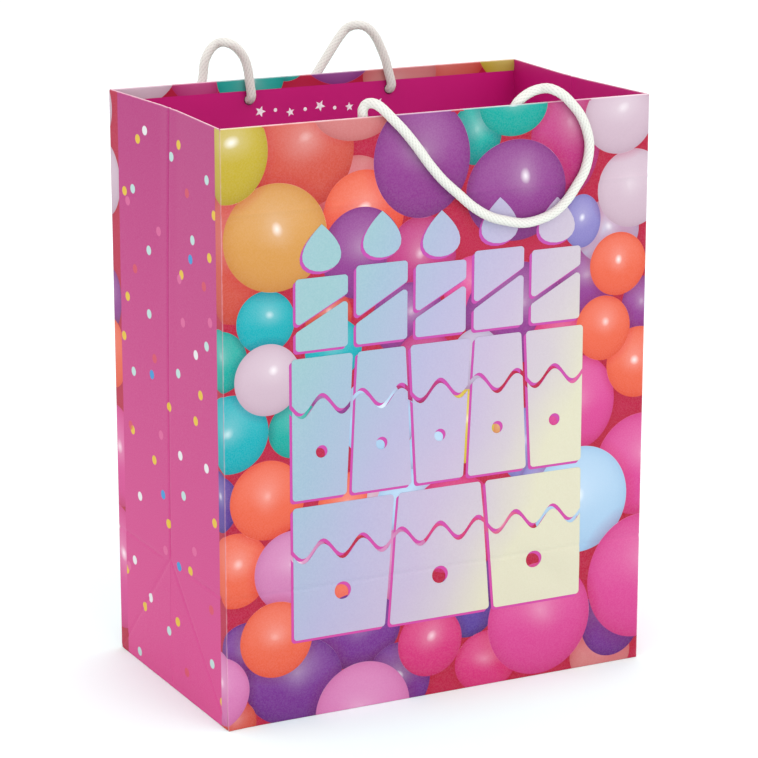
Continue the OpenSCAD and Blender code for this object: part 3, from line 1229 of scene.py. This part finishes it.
@dataclass
class HemFold:
    """The paper that folds over the rim and runs down inside."""

    side: Side
    node: str
    slot: str = "hem_paper"
    arc_steps: int = 8

    def build(self, finishes: Finishes) -> bpy.types.Object:
        """Make the hem and put it on the bag."""
        radius = fold_radius(self.side)
        drop = SIZE.height - radius - SIZE.hem_low
        half = self.side.half_width if self.side.wide else SIZE.hem_in
        half = min(half, SIZE.half_w - SIZE.paper)
        rows = self.arc_steps + round(drop / CELL)
        bm = grid(
            round(2 * half / CELL),
            rows,
            Matrix.Translation((0, rows / 2, 0)) @ Matrix.Diagonal((2 * half, rows, 1, 1)),
        )
        if not self.side.wide:
            cut_planes(bm, SHAPE.upright_cuts())
        shape = SHAPE.inward(self.side)
        for vert in bm.verts:
            u, row = vert.co.x, vert.co.y
            turned = min(row / self.arc_steps, 1.0) * math.pi
            below = max(0.0, row - self.arc_steps) / (rows - self.arc_steps) * drop
            z = SIZE.height - radius + radius * math.sin(turned) - below
            depth = radius * (1 - math.cos(turned)) + shape(u, z)
            vert.co = Vector((u, depth - self.side.distance, z))
        bmesh.ops.transform(bm, matrix=self.side.turn, verts=bm.verts)
        smooth_faces(bm)
        piece = finished_piece(
            self.node + "_fold", bm, finishes.hems[self.side], finishes.plain, finishes.core
        )
        log.info("%s: fold of %.2f mm", piece.name, radius / MM)
        thicken(piece, SIZE.paper * 0.9, -1)
        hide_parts(self.node)
        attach(piece, BAG)
        return piece


@dataclass
class HemStars:
    """The row of small white stars and dots that is printed inside a wide hem."""

    side: Side
    count: int = 9
    pitch: float = 9.5 * MM
    star: float = 3.4 * MM
    dot: float = 1.1 * MM
    drop: float = 20 * MM
    ink: float = 0.03 * MM

    def build(self, finishes: Finishes) -> bpy.types.Object:
        """Make the stars, standing a hair off the hem."""
        bm = bmesh.new()
        middle = (self.count - 1) / 2
        for k in range(self.count):
            spot = Vector(((k - middle) * self.pitch, 0, SIZE.height - self.drop))
            spot.z += 1.2 * MM * math.sin(k * 1.9)
            if k % 2 == 0:
                self.add_star(bm, spot, self.star * (1.0 if k % 4 == 0 else 0.8), 0.35 * k)
            else:
                self.add_star(bm, spot, self.dot, 0.0, points=12, waist=1.0)
        inner = -SIZE.hem_in + self.ink
        bmesh.ops.transform(bm, matrix=Matrix.Translation((0, inner, 0)), verts=bm.verts)
        bmesh.ops.transform(bm, matrix=self.side.turn, verts=bm.verts)
        piece = finished_piece(f"{self.side.name.lower()}_hem_stars", bm, finishes.stars)
        thicken(piece, self.ink, 1)
        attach(piece, BAG)
        return piece

    def add_star(
        self,
        bm: bmesh.types.BMesh,
        spot: Vector,
        radius: float,
        turn: float,
        points: int = 5,
        waist: float = 0.45,
    ) -> None:
        """Add one star that faces into the bag.

        Args:
            bm: the mesh.
            spot: its middle.
            radius: the radius of its points.
            turn: how far it is turned, in radians.
            points: how many points it has.
            waist: its inner radius as a share of the outer one.
        """
        made = bmesh.ops.create_circle(bm, cap_ends=True, segments=2 * points, radius=radius)
        for k, vert in enumerate(made["verts"]):
            vert.co *= waist if k % 2 else 1.0
        place = (
            Matrix.Translation(spot)
            @ Matrix.Rotation(-math.pi / 2, 4, "X")
            @ Matrix.Rotation(turn, 4, "Z")
        )
        bmesh.ops.transform(bm, matrix=place, verts=made["verts"])


# ---------------------------------------------------------------- the foil picture

Outline = list[Vector]


def flat(x: float, z: float) -> Vector:
    """A point of the picture, in millimetres from the wall's middle and its foot."""
    return Vector((x, 0.0, z))


@dataclass(frozen=True)
class Tier:
    """One tier of the cake, in millimetres: how its blocks stand, lean and are dotted."""

    blocks: int
    low: float
    high: float
    lean: float
    dot: float


@dataclass
class CakePicture:
    """Five candles on a cake of two tiers, in blocks with gaps between them."""

    side: Side
    node: str
    low_z: float = 45
    width: float = 180
    tier_gap: float = 4
    block_gap: float = 3
    lower_share: float = 0.32
    upper_share: float = 0.335
    icing_share: float = 0.34
    icing_wave: float = 5
    icing_period: float = 24
    icing_steps: int = 36
    flame_share: float = 0.35
    corner: float = 2
    dot_steps: int = 32
    flame_steps: int = 24
    candle_w: float = 31
    flame_w: float = 23
    candle_extra: tuple[float, ...] = (0, 4, 1, 5, 2)
    foil: float = 0.1 * MM
    ink: float = 0.08 * MM
    shadow_shift: tuple[float, float] = (-1.5, -1.4)

    def __post_init__(self) -> None:
        """Work out the heights of the rows."""
        _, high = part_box(self.node)
        self.height = high[2] / MM - self.low_z
        lower_h, upper_h = self.lower_share * self.height, self.upper_share * self.height
        upper_z = self.low_z + lower_h + self.tier_gap
        self.tiers = (
            Tier(3, self.low_z, lower_h, lean=3, dot=10),
            Tier(5, upper_z, upper_h, lean=2, dot=7),
        )
        self.candle_z = upper_z + upper_h + self.tier_gap
        row = self.low_z + self.height - self.candle_z
        self.flame_h = self.flame_share * row
        self.candle_h = row - self.flame_h - self.block_gap - max(self.candle_extra)

    @staticmethod
    def turns(steps: int) -> list[float]:
        """The angles of even steps once round a circle."""
        return [2 * math.pi * k / steps for k in range(steps)]

    def rounded(self, outline: Outline) -> Outline:
        """An outline with each corner rounded."""
        done: Outline = []
        for k, corner in enumerate(outline):
            before, after = outline[k - 1], outline[(k + 1) % len(outline)]
            done += self.round_corner(before, corner, after, self.corner)
        return done

    @staticmethod
    def round_corner(
        before: Vector, corner: Vector, after: Vector, radius: float, steps: int = 4
    ) -> Outline:
        """The arc that rounds one corner of an outline."""
        back = (before - corner).normalized()
        on = (after - corner).normalized()
        half = back.angle(on) / 2
        middle = corner + (back + on).normalized() * radius / math.sin(half)
        first = corner + back * radius / math.tan(half) - middle
        last = corner + on * radius / math.tan(half) - middle
        spokes = [first.lerp(last, k / steps).normalized() for k in range(steps + 1)]
        return [middle + spoke * radius for spoke in spokes]

    def edge(self, tier: Tier, k: int, share: float) -> float:
        """Where edge k of a tier's blocks is, at a share of the tier's height."""
        x = -self.width / 2 + k * self.width / tier.blocks
        if k in (0, tier.blocks):
            return x
        return x + (-tier.lean if k % 2 == 0 else tier.lean) * (share - 0.5) * 2

    def sides(self, tier: Tier, k: int, share: float) -> tuple[float, float]:
        """The left and right edges of block k, with the gap taken off."""
        left = self.edge(tier, k, share) + (0 if k == 0 else self.block_gap / 2)
        right = self.edge(tier, k + 1, share)
        return left, right - (0 if k + 1 == tier.blocks else self.block_gap / 2)

    def blocks(self, tier: Tier) -> list[Outline]:
        """The cake and the icing of each block of a tier."""
        done: list[Outline] = []
        low, high = tier.low, tier.high
        icing = self.icing_share * high
        share = (high - icing) / high
        shoulder = low + high - icing
        for k in range(tier.blocks):
            left, right = self.sides(tier, k, share)
            low_left, low_right = self.sides(tier, k, 0)
            top_left, top_right = self.sides(tier, k, 1)
            feet = [flat(low_left, low), flat(low_right, low)]
            tops = [flat(top_right, low + high), flat(top_left, low + high)]
            wave = []
            for i in range(self.icing_steps + 1):
                x = right + (left - right) * i / self.icing_steps
                ripple = math.cos(2 * math.pi * x / self.icing_period)
                wave.append(flat(x, shoulder + self.icing_wave * ripple))
            lift = flat(0, self.block_gap / 2)
            done.append(
                self.round_corner(flat(left, low + high / 2), feet[0], feet[1], self.corner)
                + self.round_corner(feet[0], feet[1], flat(right, low + high / 2), self.corner)
                + [point - lift for point in wave]
            )
            done.append(
                self.round_corner(flat(right, shoulder), tops[0], tops[1], self.corner)
                + self.round_corner(tops[0], tops[1], flat(left, shoulder), self.corner)
                + [point + lift for point in reversed(wave)]
            )
        return done

    def dots(self, tier: Tier) -> list[Outline]:
        """The round dot of each block of a tier."""
        done: list[Outline] = []
        cake = tier.high * (1 - self.icing_share)
        for k in range(tier.blocks):
            left, right = self.sides(tier, k, cake / tier.high)
            middle = flat((left + right) / 2, tier.low + cake / 2)
            done.append([
                middle + flat(math.cos(a), math.sin(a)) * tier.dot / 2
                for a in self.turns(self.dot_steps)
            ])
        return done

    def candle(self, x: float, extra: float) -> list[Outline]:
        """A candle in two pieces, and its flame."""
        high = self.candle_h + extra
        left, right = x - self.candle_w / 2, x + self.candle_w / 2
        low, cut, rise = self.candle_z, high / 2, 0.2 * high
        gap = self.block_gap / 2
        flame_z = low + high + self.block_gap + self.flame_h / 2
        return [
            self.rounded([
                flat(left, low), flat(right, low),
                flat(right, low + cut + rise - gap), flat(left, low + cut - rise - gap),
            ]),
            self.rounded([
                flat(left, low + cut - rise + gap), flat(right, low + cut + rise + gap),
                flat(right, low + high), flat(left, low + high),
            ]),
            [
                flat(x + self.flame_w * 0.65 * math.sin(a) * math.sin(a / 2),
                     flame_z + self.flame_h / 2 * math.cos(a))
                for a in self.turns(self.flame_steps)
            ],
        ]

    def outlines(self) -> tuple[list[Outline], list[Outline]]:
        """The picture's blocks, and the dots cut out of them."""
        blocks = [block for tier in self.tiers for block in self.blocks(tier)]
        pitch = self.width / len(self.candle_extra)
        for k, extra in enumerate(self.candle_extra):
            blocks += self.candle((k - (len(self.candle_extra) - 1) / 2) * pitch, extra)
        return blocks, [dot for tier in self.tiers for dot in self.dots(tier)]

    def layer(self, name: str, finish: Finish, stand_off: float, shift: tuple[float, float]):
        """One layer of the picture, lying on the wall's paper.

        Args:
            name: the piece's name.
            finish: its material.
            stand_off: how far its back is off the paper.
            shift: how far it is moved along the wall and up, in millimetres.

        Returns:
            The piece.
        """
        bm = bmesh.new()
        blocks, dots = self.outlines()
        for outline in blocks:
            holes = [dot for dot in dots if self.holds(outline, dot)]
            edges = [edge for ring in (outline, *holes) for edge in self.ring(bm, ring)]
            bmesh.ops.triangle_fill(bm, use_beauty=True, edges=edges, normal=(0, -1, 0))
        bmesh.ops.remove_doubles(bm, verts=bm.verts, dist=0.001)
        bmesh.ops.transform(
            bm,
            matrix=Matrix.Scale(MM, 4) @ Matrix.Translation((shift[0], 0, shift[1])),
            verts=bm.verts,
        )
        self.cut(bm)
        for face in bm.faces:
            face.normal_update()
            if face.normal.y > 0:
                face.normal_flip()
        shape = SHAPE.inward(self.side)
        for vert in bm.verts:
            vert.co.y = shape(vert.co.x, vert.co.z) - self.side.distance - stand_off
        bmesh.ops.transform(bm, matrix=self.side.turn, verts=bm.verts)
        smooth_faces(bm)
        return finished_piece(name, bm, finish)

    @staticmethod
    def holds(outline: Outline, dot: Outline) -> bool:
        """Whether a dot's middle lies inside an outline."""
        middle = sum(dot, Vector()) / len(dot)
        inside = False
        for a, b in zip(outline, outline[1:] + outline[:1]):
            if (a.z > middle.z) != (b.z > middle.z):
                if middle.x < a.x + (b.x - a.x) * (middle.z - a.z) / (b.z - a.z):
                    inside = not inside
        return inside

    @staticmethod
    def ring(bm: bmesh.types.BMesh, outline: Outline) -> list[bmesh.types.BMEdge]:
        """A closed ring of edges along an outline."""
        verts = [bm.verts.new(point) for point in outline]
        return [bm.edges.new((a, b)) for a, b in zip(verts, verts[1:] + verts[:1])]

    def cut(self, bm: bmesh.types.BMesh) -> None:
        """Cut the layer along the lines of the wall's own grid, so that it bends with it."""
        across, up = wall_cells(self.side)
        columns = round(2 * self.side.half_width / across)
        rows = round((SIZE.height - fold_radius(self.side)) / up)
        edge = -self.side.half_width
        along, above = Vector((1, 0, 0)), Vector((0, 0, 1))
        planes = [(along * (edge + k * across), along) for k in range(columns + 1)]
        planes += [(above * (k * up), above) for k in range(rows + 1)]
        cut_planes(bm, planes + SHAPE.level_cuts(SHAPE.fold_z))

    def build(self, finishes: Finishes) -> list[bpy.types.Object]:
        """Make the foil and the printed shadow under it."""
        word = self.side.name.lower()
        shadow = self.layer(
            f"{word}_foil_shadow_print", finishes.shadow, self.ink / 2, self.shadow_shift
        )
        thicken(shadow, self.ink / 2, 1)
        foil = self.layer(f"{word}_foil_blocks", finishes.foils[self.side], self.ink, (0.0, 0.0))
        thicken(foil, self.foil, 1)
        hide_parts(self.node)
        for piece in (shadow, foil):
            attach(piece, BAG)
        return [shadow, foil]


# ---------------------------------------------------------------- the cord handles

Route = list[tuple[float, float, float]]

# Each point of a route is the place along the wall in millimetres, how far it is from the inner
# plane (0) to the outer one (1), and its height over the rim in millimetres.
FRONT_ROUTE: Route = [
    (-45, 0, -1), (-45, 0, 3.2), (-43.6, 0.12, 6), (-41.6, 0.5, 7), (-39.5, 0.9, 6), (-36, 1, 3),
    (-31, 1, -2), (-25, 1, -8), (-17, 1, -17.5), (-9, 1, -28), (-1, 1, -37), (8, 1, -45),
    (18, 1, -53.5), (28, 1, -59.5), (39, 1, -63), (49, 1, -65), (59, 1, -64), (68, 1, -61),
    (76, 1, -55), (82, 1, -47.5), (87, 1, -40), (89.5, 1, -32), (90, 1, -24), (88, 1, -16),
    (84, 1, -8), (78.5, 1, -1.5), (73, 1, 3.6), (68, 0.92, 6.6), (65.5, 0.5, 7.4), (63, 0.08, 6.8),
    (57.5, 0, 5.4), (52, 0, 2.6), (48, 0, -1),
]
BACK_ROUTE: Route = [
    (-46, 0, -1), (-47, 0, 6), (-49.4, 0, 13), (-54, 0.02, 18.8), (-57.6, 0.12, 21.2),
    (-60, 0.5, 21.9), (-62.4, 0.88, 21), (-66, 1, 18.2), (-70, 1, 11.5), (-71.5, 1, 2),
    (-74, 1, -9), (-75.5, 1, -19), (-74.5, 1, -29), (-70, 1, -38), (-61, 1, -44.5),
    (-50, 1, -46.5), (-39, 1, -43), (-30, 1, -36.5), (-21, 1, -27), (-12, 1, -16.5), (-4, 1, -6.5),
    (3, 1, 3), (9.5, 1, 12), (15.5, 1, 20), (19.6, 0.92, 24.4), (22.4, 0.5, 26.4),
    (25.4, 0.08, 26.8), (30, 0, 24.6), (34.5, 0, 19.6), (38, 0, 13), (41, 0, 6), (43, 0, -1),
]


@dataclass
class CordHandle:
    """One braided cord: out of the hem, over the rim and back, hanging outside the wall."""

    name: str
    way: int
    route: Route
    body: str
    nodes: tuple[str, ...]
    radius: float = 2.75 * MM
    slack: float = 0.25 * MM
    leg_steps: int = 5
    curve_steps: int = 24
    strands: int = 8
    strand_pitch: float = 3.1 * MM
    strand_height: float = 0.24 * MM
    around: int = 48
    ring_gap: float = 0.36 * MM

    def __post_init__(self) -> None:
        """Place the two planes that the cord runs in."""
        self.inner = SIZE.hem_in - self.radius - self.slack
        self.outer = SIZE.half_d + self.radius + self.slack

    def leg(self, x: float) -> list[Vector]:
        """The quarter turn from a tab's face to straight up."""
        turn = SIZE.tab_in - self.inner
        angles = [math.pi / 2 * k / (self.leg_steps - 1) for k in range(self.leg_steps)]
        return [
            Vector((x, self.way * (SIZE.tab_in - turn * math.sin(a)),
                    SIZE.hole_z + turn * (1 - math.cos(a))))
            for a in angles
        ]

    def points(self) -> list[Vector]:
        """The route's points, from one tab to the other."""
        span = self.outer - self.inner
        middle = [
            Vector((x * MM, self.way * (self.inner + share * span), SIZE.height + rise * MM))
            for x, share, rise in self.route
        ]
        return self.leg(-HOLE_X) + middle + self.leg(HOLE_X)[::-1]

    def path(self) -> list[Vector]:
        """A smooth line through the points, with even steps."""
        knots = self.points()
        ends = [2 * knots[0] - knots[1], *knots, 2 * knots[-1] - knots[-2]]
        fine: list[Vector] = []
        for a, b, c, d in zip(ends, ends[1:], ends[2:], ends[3:]):
            steps = range(self.curve_steps)
            fine += [self.between(a, b, c, d, k / self.curve_steps) for k in steps]
        fine.append(knots[-1])
        return self.evenly(fine)

    @staticmethod
    def between(a: Vector, b: Vector, c: Vector, d: Vector, share: float) -> Vector:
        """A point between b and c on the smooth curve through a, b, c and d."""
        gaps = [max(1e-6, (q - p).length ** 0.5) for p, q in ((a, b), (b, c), (c, d))]
        t1 = gaps[0]
        t2 = t1 + gaps[1]
        t3 = t2 + gaps[2]
        t = t1 + (t2 - t1) * share
        p1 = a * (t1 - t) / t1 + b * t / t1
        p2 = b * (t2 - t) / (t2 - t1) + c * (t - t1) / (t2 - t1)
        p3 = c * (t3 - t) / (t3 - t2) + d * (t - t2) / (t3 - t2)
        q1 = p1 * (t2 - t) / t2 + p2 * t / t2
        q2 = p2 * (t3 - t) / (t3 - t1) + p3 * (t - t1) / (t3 - t1)
        return q1 * (t2 - t) / (t2 - t1) + q2 * (t - t1) / (t2 - t1)

    def evenly(self, line: list[Vector]) -> list[Vector]:
        """The same line with its points about one ring gap apart."""
        total = sum((b - a).length for a, b in zip(line, line[1:]))
        count = round(total / self.ring_gap / (1))
        gap = total / count
        done, left = [line[0]], gap
        for a, b in zip(line, line[1:]):
            length, gone = (b - a).length, 0.0
            while length - gone >= left and len(done) < count:
                gone += left
                done.append(a.lerp(b, gone / length))
                left = gap
            left -= length - gone
        done.append(line[-1])
        return done

    def crown(self, turn: float, along: float) -> float:
        """How high the braid stands, from 0 between the strands to 1 on a strand."""
        a, b = self.strands * turn, 2 * math.pi * along / self.strand_pitch
        over = 0.5 + 0.5 * math.cos(a + b) * math.cos(a - b)
        one = abs(math.cos((a + b) / 2)) ** 0.7
        two = abs(math.cos((a - b) / 2)) ** 0.7
        return max(one * (0.55 + 0.45 * over), two * (1.0 - 0.45 * over))

    def build(self, finishes: Finishes) -> bpy.types.Object:
        line = self.path()
        rows = len(line) - 1
        bm = grid(
            self.around,
            rows,
            Matrix.Translation((self.around / 2, rows / 2, 0))
            @ Matrix.Diagonal((self.around, rows, 1, 1)),
        )
        crown = bm.verts.layers.float.new("crown")
        frames = self.frames(line)
        for vert in bm.verts:
            column, row = round(vert.co.x), round(vert.co.y)
            turn = 2 * math.pi * column / self.around
            along = row * (line[1] - line[0]).length
            height = self.crown(turn, along)
            out = self.radius - self.strand_height * (1 - height)
            across, up = frames[row]
            vert.co = line[row] + (across * math.cos(turn) + up * math.sin(turn)) * out
            vert[crown] = height
        bmesh.ops.remove_doubles(bm, verts=bm.verts, dist=self.ring_gap / 40)
        bmesh.ops.holes_fill(bm, edges=[edge for edge in bm.edges if edge.is_boundary])
        bmesh.ops.recalc_face_normals(bm, faces=bm.faces)
        smooth_faces(bm)
        piece = finished_piece(self.name, bm, finishes.cord)
        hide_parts(*self.nodes)
        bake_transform(piece)
        length = sum((b - a).length for a, b in zip(line, line[1:]))
        log.info("%s: %.0f mm of cord, %d rings", self.name, length / MM, len(line))
        return piece

    def frames(self, line: list[Vector]) -> list[tuple[Vector, Vector]]:
        """Two directions across the cord at each ring, carried along it without a twist."""
        across, done = Vector((1, 0, 0)), []
        last = len(line) - 1
        for k in range(len(line)):
            ahead = (line[min(k + 1, last)] - line[max(k - 1, 0)]).normalized()
            across = (across - ahead * across.dot(ahead)).normalized()
            done.append((across.copy(), ahead.cross(across)))
        return done


# ---------------------------------------------------------------- the bag


class GiftBag:
    """The whole bag, made piece by piece."""

    def __init__(self) -> None:
        """Make the finishes that the pieces share."""
        self.finishes = Finishes()

    def build_cords(self) -> None:
        """Make the two handles."""
        for word, way, route in (("front", -1, FRONT_ROUTE), ("back", 1, BACK_ROUTE)):
            handle = CordHandle(
                name=f"{word}_handle_cord",
                way=way,
                route=route,
                body=f"{word}_handle",
                nodes=tuple(f"{word}_handle_{part}" for part in ("legs", "bends", "loop")),
            )
            handle.build(self.finishes)

    def build_paper(self) -> None:
        """Make the walls, the hems, the foil pictures and the stars."""
        walls = {
            Side.FRONT: ("front_panel", "printed_paper"),
            Side.BACK: ("back_panel", "printed_paper"),
            Side.LEFT: ("left_gusset", "confetti_paper"),
            Side.RIGHT: ("right_gusset", "confetti_paper"),
        }
        for side, (node, slot) in walls.items():
            log.info("made %s", WallSheet(side, node, slot).build(self.finishes).name)
            log.info("made %s", HemFold(side, f"{side.name.lower()}_hem").build(self.finishes).name)
            if side.wide:
                node = f"{side.name.lower()}_foil_picture"
                for piece in CakePicture(side, node).build(self.finishes):
                    log.info("made %s", piece.name)
                log.info("made %s", HemStars(side).build(self.finishes).name)

    def dress_frame(self) -> None:
        """Give the frame's own pieces that still show their finishes."""
        finish = self.finishes
        dressed = [
            (
                finish.base_print,
                ("base_front_flap", "base_back_flap", "base_left_tuck", "base_right_tuck"),
            ),
            (finish.plain, ("base_corner_webs",)),
            (finish.flap, ("front_glue_flap", "back_glue_flap")),
            (finish.card, ("front_stiffener_card", "back_stiffener_card", "base_card")),
            (finish.tab, ("front_cord_tabs", "back_cord_tabs")),
        ]
        for paint, nodes in dressed:
            for node in nodes:
                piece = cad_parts[node]
                piece.data.materials.clear()
                piece.data.materials.append(paint.material)


# ---------------------------------------------------------------- studio


@dataclass(frozen=True)
class Lamp:
    """A square soft lamp: its place and size in metres and its power in watts."""

    name: str
    place: Vector
    size: float
    power: float


class Studio:
    """The camera, the floor and the light."""

    azimuth = math.radians(-27.0)
    elevation = math.radians(14.5)
    camera_place = Vector((-0.734, -1.442, 0.583))
    lens_mm = 139.1
    floor_half = 14.0
    floor_drop = 0.2 * MM
    sky = 1.25
    lamps = (
        Lamp("key", Vector((0.2, -2.0, 1.9)), 1.6, 12.0),
        Lamp("back", Vector((0.6, 1.8, 1.6)), 1.4, 3.0),
    )

    def add_camera(self) -> None:
        """Put the camera at the bag's front left, a little above it."""
        camera = bpy.data.objects.new("camera", bpy.data.cameras.new("camera"))
        camera.data.lens = self.lens_mm
        camera.data.sensor_width = 36.0
        camera.data.clip_start, camera.data.clip_end = 0.05, 60.0
        back = Vector((
            math.sin(self.azimuth) * math.cos(self.elevation),
            -math.cos(self.azimuth) * math.cos(self.elevation),
            math.sin(self.elevation),
        ))
        camera.rotation_mode = "QUATERNION"
        camera.rotation_quaternion = (-back).to_track_quat("-Z", "Y")
        camera.location = self.camera_place
        bpy.context.scene.collection.objects.link(camera)
        bpy.context.scene.camera = camera

    def add_floor(self) -> None:
        """Lay a wide pale floor."""
        bm = bmesh.new()
        bmesh.ops.create_grid(bm, x_segments=1, y_segments=1, size=self.floor_half)
        floor = finished_piece("studio_floor", bm, FloorPaint("studio_floor_paint"))
        floor.location.z = -self.floor_drop

    def add_light(self) -> None:
        """Light the bag from all round, with a broad soft lamp from the upper left."""
        world = bpy.data.worlds.new("studio")
        world.use_nodes = True
        background = world.node_tree.nodes["Background"]
        background.inputs["Color"].default_value = (1.0, 1.0, 1.0, 1.0)
        background.inputs["Strength"].default_value = self.sky
        bpy.context.scene.world = world
        for lamp in self.lamps:
            self.add_lamp(lamp)

    @staticmethod
    def add_lamp(plan: Lamp) -> None:
        """Add a lamp that points at the bag."""
        lamp = bpy.data.objects.new(plan.name, bpy.data.lights.new(plan.name, "AREA"))
        lamp.data.size = plan.size
        lamp.data.energy = plan.power
        lamp.location = plan.place
        aim = Vector((0, 0, SIZE.height / 2)) - plan.place
        lamp.rotation_mode = "QUATERNION"
        lamp.rotation_quaternion = aim.to_track_quat("-Z", "Y")
        bpy.context.scene.collection.objects.link(lamp)


def main() -> None:
    """Build the studio and the bag."""
    bpy.context.scene.view_settings.view_transform = "Standard"
    studio = Studio()
    studio.add_camera()
    bag = GiftBag()
    bag.build_cords()
    bag.build_paper()
    bag.dress_frame()
    studio.add_floor()
    studio.add_light()


if __name__ == "__main__":
    main()
